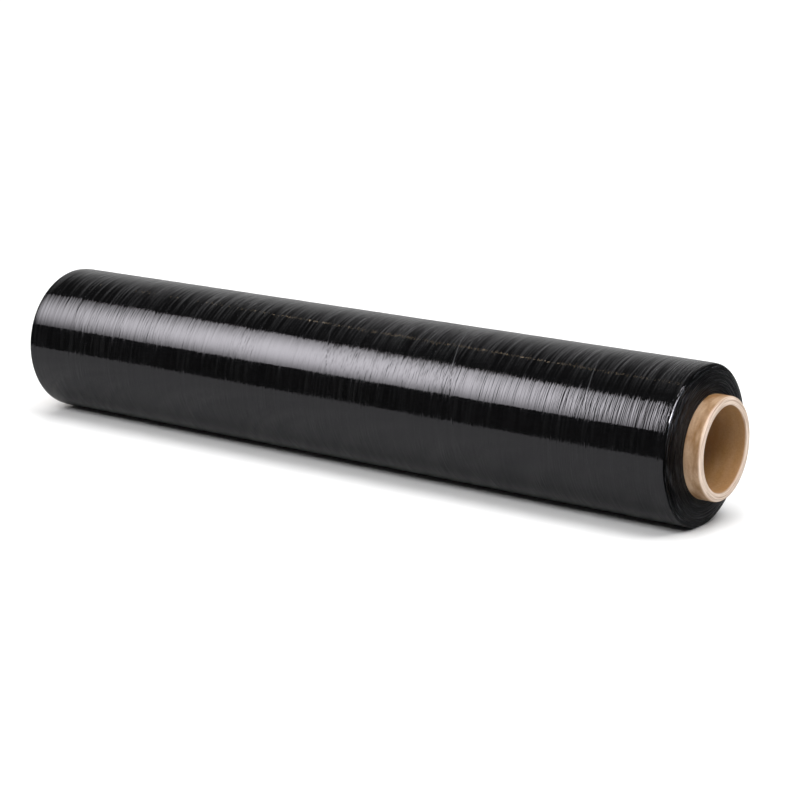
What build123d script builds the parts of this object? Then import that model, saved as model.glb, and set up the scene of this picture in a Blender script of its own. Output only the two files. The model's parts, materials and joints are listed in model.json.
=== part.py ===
"""A hand roll of black stretch wrap: one long film wound on a paper tube that stands out at both ends.

Units are millimetres. The roll lies on its side along X. The origin is under the middle of the roll, on
the surface that it rests on, and +Z is up.
"""

import os
from math import sqrt

from build123d import *

# The winding: a single film, several hundred turns thick, modelled as one solid.
film_width = 500.0  # across the outermost turns
film_radius = 48.5
film_dish = 2.8  # how far the innermost turns stand out past the outermost, at each end
film_edge_round = 0.8  # the soft edge of the outermost turns
flat_width = 12.0  # the flat spot that the turns settle to under the roll's own weight

# The core: a spiral-wound paper tube.
core_bore_radius = 25.75
core_wall = 5.25
core_overhang = 13.3  # how far each end stands out past the outermost turns
core_outer_round = 2.0  # the cut ends are rubbed round on the outside
core_bore_round = 0.5

core_radius = core_bore_radius + core_wall
core_length = film_width + 2 * core_overhang
axis_height = sqrt(film_radius**2 - (flat_width / 2) ** 2)

roll_axis = Axis((0, 0, axis_height), (1, 0, 0))
lengthwise_plane = Plane(origin=roll_axis.position, x_dir=(1, 0, 0), z_dir=(0, -1, 0))
crosswise_plane = Plane(origin=roll_axis.position, x_dir=(0, 1, 0), z_dir=(1, 0, 0))
resting_plane = Plane.XY


# Film winding: a section turned about the axis. Its end faces curve back from the core to the outer turns.
with BuildPart() as film_roll:
    with BuildSketch(lengthwise_plane) as winding_section:
        with BuildLine() as winding_outline:
            on_core = Line((0, core_radius), (film_width / 2 + film_dish, core_radius))
            end_face = TangentArc(on_core @ 1, (film_width / 2, film_radius), tangent=(0, 1))
            Line(end_face @ 1, (0, film_radius))
            mirror(about=Plane.YZ)
        make_face()
        outer_corners = winding_section.vertices().group_by(Axis.Y)[-1]
        fillet(outer_corners, radius=film_edge_round)
    revolve(axis=roll_axis)
    split(bisect_by=resting_plane, keep=Keep.TOP)

# Core: a plain tube with its bore edges eased and its outer end edges rubbed round.
with BuildPart() as core:
    with BuildSketch(crosswise_plane) as tube_section:
        Circle(core_radius)
        Circle(core_bore_radius, mode=Mode.SUBTRACT)
    extrude(amount=core_length / 2, both=True)
    bore_edges = core.edges().filter_by(GeomType.CIRCLE).group_by(SortBy.RADIUS)[0]
    fillet(bore_edges, radius=core_bore_round)
    outer_edges = core.edges().filter_by(GeomType.CIRCLE).group_by(SortBy.RADIUS)[-1]
    fillet(outer_edges, radius=core_outer_round)

film_roll.part.label = "film_roll"
core.part.label = "core"

os.makedirs("parts", exist_ok=True)
for piece in (film_roll, core):
    export_step(piece.part, f"parts/{piece.part.label}.step")
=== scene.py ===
# %% [markdown]
# # A hand roll of black stretch wrap
#
# One long polyethylene film is wound on a paper tube. Several hundred turns make a hard black cylinder,
# with fine ridges round it where the film was pulled tight. The tube stands out a little at both ends.
#
# The CAD model holds the true sizes. This script reads them, builds a finely shaped winding and a finely
# shaped tube in the same place, and lights them as a small product studio does.

import json
import math

import bmesh
import bpy
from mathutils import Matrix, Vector, noise


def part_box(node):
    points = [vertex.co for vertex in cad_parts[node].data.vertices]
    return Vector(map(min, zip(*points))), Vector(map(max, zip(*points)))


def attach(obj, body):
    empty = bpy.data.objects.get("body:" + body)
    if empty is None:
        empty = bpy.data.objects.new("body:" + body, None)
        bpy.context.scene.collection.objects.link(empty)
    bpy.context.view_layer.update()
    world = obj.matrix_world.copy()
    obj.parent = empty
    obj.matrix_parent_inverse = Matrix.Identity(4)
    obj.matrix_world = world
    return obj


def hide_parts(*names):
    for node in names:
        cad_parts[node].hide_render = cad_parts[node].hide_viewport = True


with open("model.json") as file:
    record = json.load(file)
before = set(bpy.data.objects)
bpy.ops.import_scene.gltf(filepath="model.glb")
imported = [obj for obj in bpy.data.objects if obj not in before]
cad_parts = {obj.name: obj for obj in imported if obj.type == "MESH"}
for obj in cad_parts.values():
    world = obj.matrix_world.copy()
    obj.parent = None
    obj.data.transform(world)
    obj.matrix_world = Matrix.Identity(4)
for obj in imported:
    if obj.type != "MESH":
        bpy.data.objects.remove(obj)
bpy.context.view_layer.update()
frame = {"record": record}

# %% [markdown]
# ## Sizes
#
# Every size below comes from the CAD solids, in metres. The roll lies along X. Its axis is a little lower
# than its radius, because the lowest turns have settled to a flat strip where they touch the floor.

# %% Read the sizes
film_low, film_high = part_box("film_roll")
core_low, core_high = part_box("core")
bore = next(mount for mount in frame["record"]["mounts"] if mount["name"] == "core_bore")

axis_height = bore["pos_m"][2]
bore_radius = bore["dims"]["r_mm"] / 1000
core_radius = core_high.z - axis_height
core_half_length = core_high.x
film_radius = film_high.z - axis_height
film_half_length = film_high.x
print("film radius", round(film_radius, 5), "core radius", round(core_radius, 5), "bore", bore_radius)

# %% [markdown]
# ## Camera
#
# A long lens looks down on the roll from its right end, so the end of the tube is close and open to view.
# The camera is placed first, because every finish is judged through it. Two angles set where it looks, and
# a vector made from them turns it, which is easier to read than three rotations.

# %% Place the camera
camera_place = Vector((0.8333, -1.0923, 0.3801))
camera_turn = math.radians(36.28)  # to the left of straight ahead along +Y
camera_dip = math.radians(13.96)  # below the level
camera_aim = Vector((
    -math.sin(camera_turn) * math.cos(camera_dip),
    math.cos(camera_turn) * math.cos(camera_dip),
    -math.sin(camera_dip),
))

camera_data = bpy.data.cameras.new("camera")
camera_data.lens = 98.98
camera_data.sensor_width = 36.0
camera = bpy.data.objects.new("camera", camera_data)
camera.location = camera_place
camera.rotation_mode = "QUATERNION"
camera.rotation_quaternion = camera_aim.to_track_quat("-Z", "Y")
bpy.context.scene.collection.objects.link(camera)
bpy.context.scene.camera = camera
bpy.context.scene.view_settings.view_transform = "Standard"
print("camera aims along", [round(part, 3) for part in camera_aim])

# %% [markdown]
# ## Helpers
#
# A finished piece is a bmesh that becomes a mesh object at the origin. A material is a short chain of
# nodes. Both are made so often that each step of them gets one small helper.


# %% Helper for pieces
def finish_piece(name, shape, materials, sharp_angle=math.radians(35)):
    """Turns a bmesh into an object at the origin, smooth except across edges sharper than the angle."""
    bmesh.ops.recalc_face_normals(shape, faces=shape.faces[:])
    mesh = bpy.data.meshes.new(name)
    shape.to_mesh(mesh)
    shape.free()
    mesh.shade_smooth()
    mesh.set_sharp_from_angle(angle=sharp_angle)
    for material in materials:
        mesh.materials.append(material)
    piece = bpy.data.objects.new(name, mesh)
    bpy.context.scene.collection.objects.link(piece)
    mesh.calc_loop_triangles()
    print(name, "has", len(mesh.loop_triangles), "triangles")
    return piece


# %% Helpers for nodes
def new_material(name):
    """An empty material and its node tree."""
    material = bpy.data.materials.new(name)
    material.use_nodes = True
    material.node_tree.nodes.clear()
    return material, material.node_tree


def add_node(tree, kind, values=None, **fields):
    """Adds a node. Fields are its settings. Values fill its inputs: a socket is linked, a value is set."""
    made = tree.nodes.new(kind)
    for field, setting in fields.items():
        setattr(made, field, setting)
    for socket, value in (values or {}).items():
        if isinstance(value, bpy.types.NodeSocket):
            tree.links.new(value, made.inputs[socket])
        else:
            made.inputs[socket].default_value = value
    return made


# %% Helpers for numbers and vectors
def maths(tree, operation, first, second=0.0, third=0.0):
    """One step of arithmetic on numbers. Returns the result's socket."""
    return add_node(tree, "ShaderNodeMath", {0: first, 1: second, 2: third}, operation=operation).outputs[0]


def vector_maths(tree, operation, first, second):
    """One step of arithmetic on vectors. Returns the result's socket."""
    return add_node(tree, "ShaderNodeVectorMath", {0: first, 1: second}, operation=operation).outputs[0]


def length_of(tree, vector):
    """The length of a vector."""
    return add_node(tree, "ShaderNodeVectorMath", {0: vector}, operation="LENGTH").outputs["Value"]


def remap(tree, value, start, end, first=0.0, last=1.0, kind="LINEAR"):
    """Turns a number that runs from start to end into one that runs from first to last, and stops there."""
    return add_node(tree, "ShaderNodeMapRange", {
        "Value": value, "From Min": start, "From Max": end, "To Min": first, "To Max": last,
    }, interpolation_type=kind).outputs[0]


# %% Helpers for patterns and colours
def noise_at(tree, where, detail, scale=1.0):
    """Smooth noise from 0 to 1 at a place."""
    return add_node(tree, "ShaderNodeTexNoise", {
        "Vector": where, "Scale": scale, "Detail": detail,
    }).outputs[0]


def blend(tree, share, first, second):
    """A mix of two colours: the first at share 0, and the second at share 1."""
    return add_node(tree, "ShaderNodeMix", {
        "Factor": share, "A": first, "B": second,
    }, data_type="RGBA").outputs["Result"]


def roll_place(tree):
    """A point's place from the middle of the roll's axis, and the node that splits it into X, Y and Z."""
    place = add_node(tree, "ShaderNodeTexCoord").outputs["Object"]
    centred = vector_maths(tree, "SUBTRACT", place, (0, 0, axis_height))
    return centred, add_node(tree, "ShaderNodeSeparateXYZ", {0: centred})


def out_from_axis(tree, centred):
    """How far a point is from the roll's axis."""
    return length_of(tree, vector_maths(tree, "MULTIPLY", centred, (0, 1, 1)))


# %% [markdown]
# ## The studio
#
# Black film shows nothing but what it reflects, so its look is made by the studio. These are its parts:
#
# - a white sweep, which the camera sees as the floor and the background;
# - a table top, which the film reflects as a dark grey, up to its front edge;
# - a long soft box in front and above, which the film reflects as one bright band;
# - a side box on the right, which only the rim and the end face reflect;
# - lamps, which light the floor and the paper tube;
# - a dim room: pale behind the roll, and dark overhead and in front.
#
# In a real studio one thing does several of these jobs. Here each part does one: the sweep is only for the
# camera and for soft light, and the table top and the boxes are only for reflections. That is what object
# ray visibility is for, and it keeps each part easy to change.


# %% Helpers for stage objects
def add_stage(name, shape, material, camera_sees, gloss_sees, light_sees):
    """A floor, a backdrop or a reflector. It isn't part of the roll."""
    mesh = bpy.data.meshes.new(name)
    shape.to_mesh(mesh)
    shape.free()
    mesh.materials.append(material)
    thing = bpy.data.objects.new(name, mesh)
    bpy.context.scene.collection.objects.link(thing)
    thing.visible_camera = camera_sees
    thing.visible_glossy = gloss_sees
    thing.visible_diffuse = light_sees
    thing.visible_shadow = False
    print("stage:", name)
    return thing


def level_sheet(length, width, place):
    """A level rectangle, with its middle at a place."""
    shape = bmesh.new()
    bmesh.ops.create_grid(shape, x_segments=1, y_segments=1, size=0.5)
    bmesh.ops.scale(shape, vec=(length, width, 1.0), verts=shape.verts[:])
    bmesh.ops.translate(shape, vec=place, verts=shape.verts[:])
    return shape


def make_shine(material, strength, colour=(1, 1, 1, 1)):
    """Makes a material only shine. It is there to be seen, so Cycles needn't aim light rays at it."""
    tree = material.node_tree
    shine = add_node(tree, "ShaderNodeEmission", {"Color": colour, "Strength": strength})
    add_node(tree, "ShaderNodeOutputMaterial", {"Surface": shine.outputs[0]})
    material.cycles.emission_sampling = "NONE"


# %% Sweep finish: matt white near the roll, and lit to pure white further away
sweep_finish, tree = new_material("sweep_white")
place = add_node(tree, "ShaderNodeTexCoord").outputs["Object"]
glow = remap(tree, length_of(tree, place), 0.45, 1.6, kind="SMOOTHSTEP")
paper = add_node(tree, "ShaderNodeBsdfDiffuse", {"Color": (0.9, 0.9, 0.9, 1)})
shine = add_node(tree, "ShaderNodeEmission", {"Strength": glow})
both = add_node(tree, "ShaderNodeAddShader", {0: paper.outputs[0], 1: shine.outputs[0]})
add_node(tree, "ShaderNodeOutputMaterial", {"Surface": both.outputs[0]})
sweep_finish.cycles.emission_sampling = "NONE"
print("sweep finish:", len(tree.nodes), "nodes")

# %% Sweep: a wide disc for the floor, and a dome for the background
sweep_radius = 14.0
shape = bmesh.new()
bmesh.ops.create_circle(shape, cap_ends=True, segments=96, radius=sweep_radius)
add_stage("sweep_floor", shape, sweep_finish, True, False, True)

dome_finish, tree = new_material("dome_white")
make_shine(dome_finish, 1.0)
shape = bmesh.new()
bmesh.ops.create_uvsphere(shape, u_segments=48, v_segments=24, radius=sweep_radius)
add_stage("sweep_dome", shape, dome_finish, True, False, False)

# %% [markdown]
# The table top ends a little in front of the roll. The film reflects its front edge as a line, below which
# the film is dark grey and above which it is black. Its faint grain runs away from the roll, and shows in
# the film as fine upright lines. It lies a hair above the sweep, because under it the table would be lit by
# the sweep's own underside.

# %% Table top: what the film reflects below the level
table_front = -0.295
table_right = 0.27
table_length = 4.0
table_width = 2.0

table_finish, tree = new_material("table_white")
place = add_node(tree, "ShaderNodeTexCoord").outputs["Object"]
grain = noise_at(tree, vector_maths(tree, "MULTIPLY", place, (300, 5, 1)), 1.0)
grain_share = remap(tree, grain, 0.35, 0.65)
table_colour = blend(tree, grain_share, (0.31, 0.31, 0.32, 1), (0.42, 0.42, 0.42, 1))
paper = add_node(tree, "ShaderNodeBsdfDiffuse", {"Color": table_colour})
add_node(tree, "ShaderNodeOutputMaterial", {"Surface": paper.outputs[0]})

table_middle = (table_right - table_length / 2, table_front + table_width / 2, 0.0002)
add_stage("table_top", level_sheet(table_length, table_width, table_middle), table_finish, False, True, False)

# %% [markdown]
# The soft box's front is one sloping sheet with a cut corner. It is brightest round one spot, as a lamp
# behind cloth is, and fades out towards its right end, so the film's band of light fades there too. The
# pattern on it is measured along the roll, and up the slope from its lower edge.

# %% Soft box: how bright each place on its front is
box_foot = Vector((0.0, -1.15, 0.589))
box_rise = Vector((0.0, 0.774, 0.491))  # from the lower edge up towards the roll
box_corners = ((-1.80, 0.0), (-0.24, 0.0), (-0.24, 0.77), (-0.95, 1.15), (-1.80, 1.27))
box_hot_spot = (-0.72, 0.55)
box_spread = (0.75, 0.5)
box_white = (0.985, 0.965, 1.0, 1)

box_finish, tree = new_material("soft_box_front")
place = add_node(tree, "ShaderNodeTexCoord").outputs["Object"]
along = add_node(tree, "ShaderNodeSeparateXYZ", {0: place}).outputs["X"]
from_foot = vector_maths(tree, "SUBTRACT", place, box_foot)
up = add_node(tree, "ShaderNodeVectorMath", {
    0: from_foot, 1: box_rise / box_rise.length_squared,
}, operation="DOT_PRODUCT").outputs["Value"]
off_x = maths(tree, "MULTIPLY", maths(tree, "SUBTRACT", along, box_hot_spot[0]), 1 / box_spread[0])
off_up = maths(tree, "MULTIPLY", maths(tree, "SUBTRACT", up, box_hot_spot[1]), 1 / box_spread[1])
spread = maths(tree, "ADD", maths(tree, "MULTIPLY", off_x, off_x), maths(tree, "MULTIPLY", off_up, off_up))
fade = maths(tree, "EXPONENT", maths(tree, "MULTIPLY", spread, -1.0))
right_fade = remap(tree, along, -0.46, -0.25, 10.8, 0.0)
make_shine(box_finish, maths(tree, "MULTIPLY", fade, right_fade), box_white)
print("soft box finish:", len(tree.nodes), "nodes")

# %% Soft box: its front
shape = bmesh.new()
corners = [shape.verts.new(box_foot + Vector((x, 0, 0)) + box_rise * up_share) for x, up_share in box_corners]
bmesh.ops.contextual_create(shape, geom=corners)
add_stage("soft_box_front", shape, box_finish, False, True, False)

# %% Side box: high on the right, for the rim and the end face, and brighter towards the front
side_box_finish, tree = new_material("side_box_front")
place = add_node(tree, "ShaderNodeTexCoord").outputs["Object"]
forward = add_node(tree, "ShaderNodeSeparateXYZ", {0: place}).outputs["Y"]
make_shine(side_box_finish, remap(tree, forward, -1.1, -0.6, 45.0, 16.0), box_white)
add_stage("side_box_front", level_sheet(1.5, 1.7, (1.35, -0.75, 1.3)), side_box_finish, False, True, False)

# %% [markdown]
# The lamps light what isn't glossy: the floor, with its soft shadow, and the paper tube. Large area lamps
# give soft shadows. All but one are hidden from reflections, where the boxes stand for them. The last one is
# tiny and warm, and the film's ridges reflect it as a thin line of warm specks.


# %% Lamps
def add_lamp(name, place, aim, size, power, colour=(1, 1, 1), gloss=False):
    """A square or oblong lamp at a place, turned to light a point."""
    light = bpy.data.lights.new(name, "AREA")
    light.shape = "RECTANGLE"
    light.size, light.size_y = size
    light.energy = power
    light.color = colour
    lamp = bpy.data.objects.new(name, light)
    lamp.location = place
    lamp.rotation_mode = "QUATERNION"
    lamp.rotation_quaternion = (Vector(aim) - Vector(place)).to_track_quat("-Z", "Y")
    lamp.visible_glossy = gloss
    bpy.context.scene.collection.objects.link(lamp)
    print("lamp:", name, power, "W")


add_lamp("soft_box", (-0.75, -0.80, 1.05), (0, 0, 0.05), (1.4, 0.9), 4)
add_lamp("overhead", (0.0, 0.25, 1.7), (0.1, 0, 0.05), (2.4, 2.0), 44)
add_lamp("side_fill", (1.1, -0.1, 1.4), (0.2, 0, 0.05), (0.8, 0.6), 11)
add_lamp("front_fill", (0.3, -1.2, 1.1), (0.1, 0, 0.05), (1.2, 0.6), 16)
add_lamp(
    "warm_lamp", (-0.81, 0.37, 1.33), (0.09, 0, 0.05), (0.05, 0.05), 0.09, colour=(1, 0.80, 0.55), gloss=True
)

# %% [markdown]
# The room is only a pattern on the world's light. The top of the film reflects it: grey towards the back
# wall, and black towards the dark ceiling. It is paler on the left than on the right.

# %% Room: pale behind the roll, dark overhead and in front
world = bpy.data.worlds.new("studio_room")
bpy.context.scene.world = world
world.use_nodes = True
tree = world.node_tree
tree.nodes.clear()
direction = add_node(tree, "ShaderNodeTexCoord").outputs["Generated"]
parts = add_node(tree, "ShaderNodeSeparateXYZ", {0: direction})
across = vector_maths(tree, "MULTIPLY", direction, (0, 1, 1))
slope = add_node(tree, "ShaderNodeVectorMath", {0: across}, operation="NORMALIZE").outputs[0]
steepness = add_node(tree, "ShaderNodeSeparateXYZ", {0: slope}).outputs["Z"]

below_ceiling = remap(tree, steepness, 0.45, 0.95, 1.0, 0.0)
behind = remap(tree, parts.outputs["Y"], -0.25, 0.15, kind="SMOOTHSTEP")
to_left = remap(tree, parts.outputs["X"], -0.2, 0.3, 1.0, 0.1)
pale = maths(tree, "MULTIPLY", maths(tree, "MULTIPLY", below_ceiling, behind), to_left)
room_light = maths(tree, "MULTIPLY_ADD", pale, 0.56, 0.045)
sky = add_node(tree, "ShaderNodeBackground", {"Strength": room_light})
add_node(tree, "ShaderNodeOutputWorld", {"Surface": sky.outputs[0]})
print("room:", len(tree.nodes), "nodes")

# %% [markdown]
# ## Black film finish
#
# Stretch film is smooth plastic, so it mirrors the studio sharply. What makes it look wound is relief: the
# tension pulls it into very fine ridges that run round the roll, and some of them cross each other at a
# small slant. They are far too fine to model, so they are bump. Noise makes them well when it is squeezed
# along the roll and stretched round it. The noise's first coordinate is the distance along the roll plus a
# share of its square, so the ridges get finer towards the right end.

# %% Film finish: places on the roll
film_finish, tree = new_material("black_film")
centred, parts = roll_place(tree)
along_roll = parts.outputs["X"]
turn = maths(tree, "ARCTAN2", parts.outputs["Y"], parts.outputs["Z"])
arc = maths(tree, "MULTIPLY", turn, film_radius)
course = maths(tree, "MULTIPLY_ADD", maths(tree, "MULTIPLY", along_roll, along_roll), 0.8, along_roll)


def ridges(slant, fineness, length, shift):
    """Noise in ridges round the roll: fineness per metre along it, cut into pieces of about this length."""
    slanted = maths(tree, "MULTIPLY_ADD", arc, slant, course)
    first = maths(tree, "MULTIPLY_ADD", slanted, fineness, shift)
    second = maths(tree, "DIVIDE", parts.outputs["Y"], length)
    third = maths(tree, "DIVIDE", parts.outputs["Z"], length)
    where = add_node(tree, "ShaderNodeCombineXYZ", {0: first, 1: second, 2: third}).outputs[0]
    return noise_at(tree, where, 1.0)


# %% Film finish: crossing ridges with calm patches between them, long ridges, and broad bands
calm_noise = noise_at(tree, vector_maths(tree, "MULTIPLY", centred, (34, 14, 14)), 2.0)
strain = remap(tree, calm_noise, 0.42, 0.62, 0.18, 1.0)
crossing = maths(tree, "ADD", ridges(0.08, 1050.0, 0.012, 3.0), ridges(-0.08, 1050.0, 0.012, 41.0))
long_ridges = ridges(0.0, 900.0, 0.05, 7.0)
bands = ridges(0.02, 260.0, 0.05, 19.0)
print("film finish so far:", len(tree.nodes), "nodes")

# %% [markdown]
# A few longer creases stand alone. Each is one raised line that leans along the roll as it goes round, so it
# is a bell curve of the distance from a slanting line, and not noise.


# %% Film finish: single creases
def crease(start, lean, width):
    """One raised line that starts at the top of the roll and leans along it as it goes round."""
    from_start = maths(tree, "SUBTRACT", maths(tree, "MULTIPLY_ADD", turn, lean, along_roll), start)
    off = maths(tree, "DIVIDE", from_start, width)
    return maths(tree, "EXPONENT", maths(tree, "MULTIPLY", maths(tree, "MULTIPLY", off, off), -1.0))


crease_lines = (  # start along the roll, lean for each radian round it, width and height
    (0.0865, 0.0126, 0.0004, 1.0), (0.1845, 0.0093, 0.0004, 0.8), (-0.1120, 0.0, 0.0004, 0.7),
    (-0.0134, 0.0180, 0.0003, 0.5), (0.0690, -0.0030, 0.0003, 0.5), (-0.1750, 0.0060, 0.0003, 0.5),
)
creases = 0.0
for start, lean, width, height in crease_lines:
    creases = maths(tree, "MULTIPLY_ADD", crease(start, lean, width), height, creases)
print("creases:", len(crease_lines))

# %% Film finish: the relief, stronger on top where the film has been handled
on_top = remap(tree, parts.outputs["Z"], 0.028, 0.044, 1.0, 2.2)
crossing_relief = maths(tree, "MULTIPLY", maths(tree, "MULTIPLY", crossing, strain), on_top)
long_relief = maths(tree, "MULTIPLY", long_ridges, on_top)
relief = None
for height, depth in (
    (bands, 0.00016), (crossing_relief, 0.00012), (long_relief, 0.00014), (creases, 0.00007),
):
    bump = add_node(tree, "ShaderNodeBump", {"Height": height, "Distance": depth, "Strength": 1.0})
    if relief is not None:
        tree.links.new(relief, bump.inputs["Normal"])
    relief = bump.outputs[0]
print("film relief: bands, crossing ridges, long ridges and creases")

# %% [markdown]
# The film is black all through. Its creases and some thin lines are painted pale as highlights and sheen,
# most of all on top.
# Some thin lines are duller than the rest. In the bright band they look like dark lines, because they
# spread its light, and beside the band they look like pale ones.

# %% Film finish: colour, with painted highlights on the creases and a painted sheen on top
film_tone_and_sheen = blend(tree, calm_noise, (0.0010, 0.0010, 0.0012, 1), (0.0018, 0.0018, 0.0019, 1))
# Painted highlight: the creases are painted pale, more strongly towards the top of the roll.
painted_highlight_on_top = remap(tree, parts.outputs["Z"], 0.018, 0.034, 0.03, 0.6)
painted_crease_highlight = maths(tree, "MULTIPLY", creases, painted_highlight_on_top)
film_tone_and_sheen = blend(tree, painted_crease_highlight, film_tone_and_sheen, (0.05, 0.05, 0.053, 1))
# Painted sheen: thin pale lines are painted near the top of the roll.
top_share = remap(tree, parts.outputs["Z"], 0.036, 0.046, 0.12, 1.0)
pale_lines = remap(tree, ridges(0.0, 1000.0, 0.04, 55.0), 0.50, 0.66)
painted_top_sheen = maths(tree, "MULTIPLY", pale_lines, top_share)
film_tone_and_sheen = blend(tree, painted_top_sheen, film_tone_and_sheen, (0.030, 0.030, 0.031, 1))
print("film colour: black, with pale creases and pale lines on top")

# %% Film finish: gloss, and the plastic
film_gloss = remap(tree, calm_noise, 0.3, 0.7, 0.035, 0.065)
dull_lines = remap(tree, ridges(0.0, 1000.0, 0.03, 77.0), 0.59, 0.67, 0.0, 0.13)
plastic = add_node(tree, "ShaderNodeBsdfPrincipled", {
    "Base Color": film_tone_and_sheen, "Roughness": maths(tree, "ADD", film_gloss, dull_lines), "IOR": 1.5,
    "Specular IOR Level": 0.55, "Specular Tint": (0.97, 0.96, 1.0, 1), "Normal": relief,
})
add_node(tree, "ShaderNodeOutputMaterial", {"Surface": plastic.outputs[0]})
print("film finish:", len(tree.nodes), "nodes")

# %% [markdown]
# ## Film edge finish
#
# On the end faces the film is seen edge on, as several hundred thin rings. Their cut edges are duller than
# the skin of the film and stand at slightly different heights, so they catch the light in short arcs. Pale
# arcs are also painted into their colour as highlights. The noise is the same as on the film, but squeezed
# outwards from the axis instead of along it. Next to the core the edges are dullest.

# %% Film edge finish: rings
edge_finish, tree = new_material("film_edges")
centred, parts = roll_place(tree)
from_axis = out_from_axis(tree, centred)


def rings(fineness, length, shift):
    """Noise in rings round the axis: fineness per metre outwards, cut into arcs of about this length."""
    first = maths(tree, "MULTIPLY_ADD", from_axis, fineness, shift)
    second = maths(tree, "DIVIDE", parts.outputs["Y"], length)
    third = maths(tree, "DIVIDE", parts.outputs["Z"], length)
    where = add_node(tree, "ShaderNodeCombineXYZ", {0: first, 1: second, 2: third}).outputs[0]
    return noise_at(tree, where, 2.0)


fine_rings = rings(1500.0, 0.012, 4.0)
broad_rings = rings(500.0, 0.020, 23.0)
print("film edges so far:", len(tree.nodes), "nodes")

# %% Film edge finish: relief, colour with painted highlights, and gloss
bump_broad = add_node(tree, "ShaderNodeBump", {"Height": broad_rings, "Distance": 0.0005, "Strength": 1.0})
bump_rings = add_node(tree, "ShaderNodeBump", {
    "Height": fine_rings, "Distance": 0.0007, "Strength": 1.0, "Normal": bump_broad.outputs[0],
})
# Painted highlights: pale arcs on the rings, painted into the colour as glints of light.
painted_arc_glints = remap(tree, fine_rings, 0.52, 0.72)
edge_and_glint_colour = blend(tree, painted_arc_glints, (0.0008, 0.0008, 0.0009, 1), (0.026, 0.027, 0.029, 1))
edge_gloss = remap(tree, from_axis, core_radius + 0.004, core_radius + 0.016, 0.45, 0.24)
plastic = add_node(tree, "ShaderNodeBsdfPrincipled", {
    "Base Color": edge_and_glint_colour, "Roughness": edge_gloss, "IOR": 1.5, "Specular IOR Level": 0.13,
    "Specular Tint": (0.78, 0.88, 1.0, 1), "Normal": bump_rings.outputs[0],
})
add_node(tree, "ShaderNodeOutputMaterial", {"Surface": plastic.outputs[0]})
print("film edge finish:", len(tree.nodes), "nodes")

# %% [markdown]
# ## Core board finish
#
# The tube is rolled from brown recycled paper. Its skin is smooth and a little shiny, with darker and paler
# patches: partly the paper's own tone and partly a painted sheen. Inside the bore it is darker and browner: a
# painted shade. The cut ends are paler, and show the plies as fine rings. One finish does both: it knows a
# cut end by how far it is along the roll, so the change follows the rounded edge.

# %% Core board finish: the skin, with a painted shade inside the bore
board_finish, tree = new_material("core_board")
centred, parts = roll_place(tree)
from_axis = out_from_axis(tree, centred)
patch_noise = noise_at(tree, vector_maths(tree, "MULTIPLY", centred, (150, 50, 50)), 3.0)
# The patches are partly the paper's own tone and partly a painted sheen: the pale colour is a whitish sheen.
patches_and_sheen = remap(tree, patch_noise, 0.36, 0.64)
patch_and_sheen_colour = blend(tree, patches_and_sheen, (0.165, 0.085, 0.032, 1), (0.37, 0.255, 0.165, 1))
# Painted shade: the bore is coloured darker and browner, for its shade and for the light bouncing inside it.
inside = remap(tree, from_axis, bore_radius + 0.0005, bore_radius + 0.0025, 1.0, 0.0)
paper_sheen_and_shade = blend(tree, maths(tree, "MULTIPLY", inside, 0.8), patch_and_sheen_colour, (0.32, 0.175, 0.070, 1))
fibres = noise_at(tree, centred, 3.0, scale=900.0)
fibre_shade = remap(tree, fibres, 0.3, 0.7, 0.9, 1.08)
skin_sheen_and_shade = add_node(tree, "ShaderNodeVectorMath", {
    0: paper_sheen_and_shade, "Scale": fibre_shade,
}, operation="SCALE").outputs[0]
print("core board so far:", len(tree.nodes), "nodes")

# %% Core board finish: the cut ends, and the board
from_middle = maths(tree, "ABSOLUTE", parts.outputs["X"])
cut_share = remap(
    tree, from_middle, core_half_length - 0.0016, core_half_length - 0.0002, kind="SMOOTHSTEP"
)
ply_spot = add_node(tree, "ShaderNodeCombineXYZ", {
    0: maths(tree, "MULTIPLY", from_axis, 2400.0),
    1: maths(tree, "MULTIPLY", parts.outputs["Y"], 60.0),
    2: maths(tree, "MULTIPLY", parts.outputs["Z"], 60.0),
}).outputs[0]
plies = remap(tree, noise_at(tree, ply_spot, 2.0), 0.33, 0.62)
cut_colour = blend(tree, plies, (0.38, 0.27, 0.20, 1), (0.72, 0.60, 0.50, 1))
bump_board = add_node(tree, "ShaderNodeBump", {"Height": fibres, "Distance": 0.00012, "Strength": 1.0})
board = add_node(tree, "ShaderNodeBsdfPrincipled", {
    "Base Color": blend(tree, cut_share, skin_sheen_and_shade, cut_colour), "Roughness": 0.58, "IOR": 1.45,
    "Specular IOR Level": 0.35, "Normal": bump_board.outputs[0],
})
add_node(tree, "ShaderNodeOutputMaterial", {"Surface": board.outputs[0]})
print("core board finish:", len(tree.nodes), "nodes")

# %% [markdown]
# ## The winding
#
# A roll of film is a body of revolution, so a section of four corners is drawn and spun. The two outer edges
# are rounded next, while the mesh is still simple. Then the long sides are divided finely, so that the rows
# can be moved in and out by a fraction of a millimetre, as real turns are.

# %% Winding: draw the section and spin it
dish = 0.0028
edge_half_length = film_half_length - dish
winding = bmesh.new()
section = [
    winding.verts.new((x, 0, axis_height + r))
    for x, r in (
        (film_half_length, core_radius), (edge_half_length, film_radius),
        (-edge_half_length, film_radius), (-film_half_length, core_radius),
    )
]
for i in range(4):
    winding.edges.new((section[i], section[(i + 1) % 4]))
bmesh.ops.spin(
    winding, geom=winding.verts[:] + winding.edges[:], cent=(0, 0, axis_height), axis=(1, 0, 0),
    dvec=(0, 0, 0), angle=2 * math.pi, steps=180, use_merge=True, use_duplicate=False,
)
bmesh.ops.remove_doubles(winding, verts=winding.verts[:], dist=1e-6)
print("the spun section has", len(winding.faces), "faces")


# %% Winding: round the two outer edges
def distance_from_axis(point):
    """How far a vertex is from the roll's axis."""
    return math.hypot(point.co.y, point.co.z - axis_height)


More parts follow.
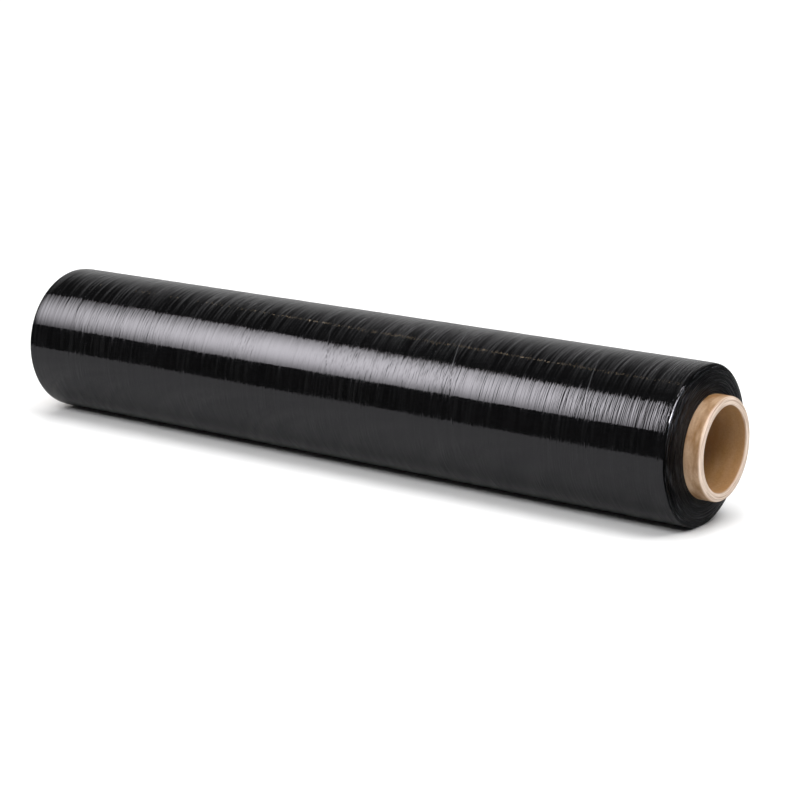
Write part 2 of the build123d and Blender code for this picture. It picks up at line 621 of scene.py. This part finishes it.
def is_rim(edge):
    """True for the edges where an end face meets the outside."""
    first, second = edge.verts
    return abs(first.co.x - second.co.x) < 1e-6 and all(
        abs(abs(end.co.x) - edge_half_length) < 1e-6 and distance_from_axis(end) > film_radius - 1e-5
        for end in edge.verts
    )


rim_rounding = 0.0008
rims = [edge for edge in winding.edges if is_rim(edge)]
bmesh.ops.bevel(
    winding, geom=rims, offset=rim_rounding, offset_type="OFFSET", affect="EDGES", segments=4, profile=0.5,
    material=-1, clamp_overlap=True,
)
print("rounded", len(rims), "rim edges")


# %% Winding: divide the outside, the end faces and the inside into rows
def spans(edge):
    """How far an edge goes along the roll, and how far outwards."""
    first, second = edge.verts
    return abs(first.co.x - second.co.x), abs(distance_from_axis(first) - distance_from_axis(second))


just_outside_core = core_radius + 0.005
long_edges = [edge for edge in winding.edges if spans(edge)[0] > 0.1]
outer_edges = [edge for edge in long_edges if distance_from_axis(edge.verts[0]) > just_outside_core]
inner_edges = [edge for edge in long_edges if distance_from_axis(edge.verts[0]) < just_outside_core]
face_edges = [edge for edge in winding.edges if spans(edge)[1] > 0.005]
bmesh.ops.subdivide_edges(winding, edges=outer_edges, cuts=355)
bmesh.ops.subdivide_edges(winding, edges=face_edges, cuts=44)
bmesh.ops.subdivide_edges(winding, edges=inner_edges, cuts=9)
print("the winding has", len(winding.faces), "faces")

# %% [markdown]
# The end faces stand out towards the core by the dish, and near each end the outermost turns slope down to
# the rim, because nothing holds them out there. Then each row gets its own small offset: rows on the outside
# move in and out, and rows on the end faces move along the roll, because no turn lies exactly on the one
# below.

# %% Winding: the dished ends and the sloping shoulders
shoulder_length = 0.0045
shoulder_drop = 0.00035
face_depth = film_radius - core_radius
dish_radius = (face_depth**2 + dish**2) / (2 * dish)
dish_zone = edge_half_length - 0.0009  # just inside the rim's rounding


def dish_bulge(r):
    """How far the rounded dish stands out of a straight cone, at this distance from the axis."""
    climb = min(max(r - core_radius, 0.0), face_depth)
    round_fall = dish_radius - math.sqrt(dish_radius**2 - climb**2)
    return climb / face_depth * dish - round_fall


for point in winding.verts:
    across = Vector((0, point.co.y, point.co.z - axis_height))
    r = across.length
    side = math.copysign(1.0, point.co.x)
    slope_share = min(max((abs(point.co.x) - edge_half_length) / shoulder_length + 1, 0.0), 1.0)
    climb_share = max(r - core_radius, 0.0) / face_depth
    if abs(point.co.x) > dish_zone:
        point.co.x += side * dish_bulge(r)
    point.co -= across / r * shoulder_drop * slope_share**1.5 * climb_share
print("dish", round(1000 * dish, 2), "mm, shoulder drop", round(1000 * shoulder_drop, 2), "mm")


# %% Winding: the relief of the turns
def barrel_relief(x, turn_y, turn_z):
    """How far the outside stands out at a place: broad gauge bands, and narrow ridges that fade round it."""
    bands = noise.noise(Vector((x * 42, 2.0, 5.0))) * 0.00007
    ribs = noise.noise(Vector((x * 240, turn_y * 0.7, turn_z * 0.7 + 9.0))) * 0.00004
    return bands + ribs


def face_relief(r, turn_y, turn_z, side):
    """How far the turns' edges stand out of an end face. It fades out at the rim, which stays smooth."""
    layers = noise.noise(Vector((r * 900 + side * 40, turn_y * 0.8, turn_z * 0.8))) * 0.00016
    drift = noise.noise(Vector((r * 160 + side * 70, turn_y * 1.2, turn_z * 1.2))) * 0.00022
    calm_rim = min(max((film_radius - shoulder_drop - 0.0006 - r) / 0.0016, 0.0), 1.0)
    return (layers + drift) * calm_rim


for point in winding.verts:
    across = Vector((0, point.co.y, point.co.z - axis_height))
    r = across.length
    out = across / r
    side = math.copysign(1.0, point.co.x)
    share_of_face = (abs(point.co.x) - (edge_half_length - rim_rounding)) / rim_rounding
    share_of_face = min(max(share_of_face, 0.0), 1.0)
    if r > core_radius + 1e-4:
        point.co += out * barrel_relief(point.co.x, out.y, out.z) * (1 - share_of_face)
        point.co.x += side * face_relief(r, out.y, out.z, side) * share_of_face
print("moved", len(winding.verts), "vertices")

# %% Winding: settle the lowest turns to a flat strip, give each face its finish, and finish the piece
for point in winding.verts:
    point.co.z = max(point.co.z, 0.0)
for face in winding.faces:
    face.material_index = int(abs(face.calc_center_median().x) > edge_half_length - 0.0001)
film_winding = finish_piece("film_winding", winding, [film_finish, edge_finish])
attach(film_winding, "root")
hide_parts("film_roll")

# %% [markdown]
# ## The paper core
#
# The tube is wound from strips of brown paper and glue, and then sawn to length. Its wall is spun like the
# film. The saw leaves a crisp inner edge, and handling rubs the outer edge round, so they get two roundings.

# %% Core: draw, divide and spin the wall
core_tube = bmesh.new()
wall_corners = [
    core_tube.verts.new((x, 0, axis_height + r))
    for x, r in (
        (-core_half_length, bore_radius), (-core_half_length, core_radius),
        (core_half_length, core_radius), (core_half_length, bore_radius),
    )
]
wall = [core_tube.edges.new((wall_corners[i], wall_corners[(i + 1) % 4])) for i in range(4)]
bmesh.ops.subdivide_edges(core_tube, edges=[wall[1], wall[3]], cuts=220)
bmesh.ops.spin(
    core_tube, geom=core_tube.verts[:] + core_tube.edges[:], cent=(0, 0, axis_height), axis=(1, 0, 0),
    dvec=(0, 0, 0), angle=2 * math.pi, steps=96, use_merge=True, use_duplicate=False,
)
bmesh.ops.remove_doubles(core_tube, verts=core_tube.verts[:], dist=1e-6)
print("the spun wall has", len(core_tube.faces), "faces")


# %% Core: rub the cut ends round
def end_ring(radius):
    """The edges of the tube's two cut ends at this radius."""
    return [
        edge for edge in core_tube.edges
        if all(
            abs(abs(end.co.x) - core_half_length) < 1e-6
            and abs(distance_from_axis(end) - radius) < 1e-5
            for end in edge.verts
        )
    ]


for radius, rounding, steps in ((core_radius, 0.0020, 5), (bore_radius, 0.0005, 2)):
    bmesh.ops.bevel(
        core_tube, geom=end_ring(radius), offset=rounding, offset_type="OFFSET", affect="EDGES",
        segments=steps, profile=0.5, material=-1, clamp_overlap=True,
    )
print("the core has", len(core_tube.faces), "faces")

# %% Core: finish the piece
core_piece = finish_piece("paper_core", core_tube, [board_finish])
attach(core_piece, "root")
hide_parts("core")
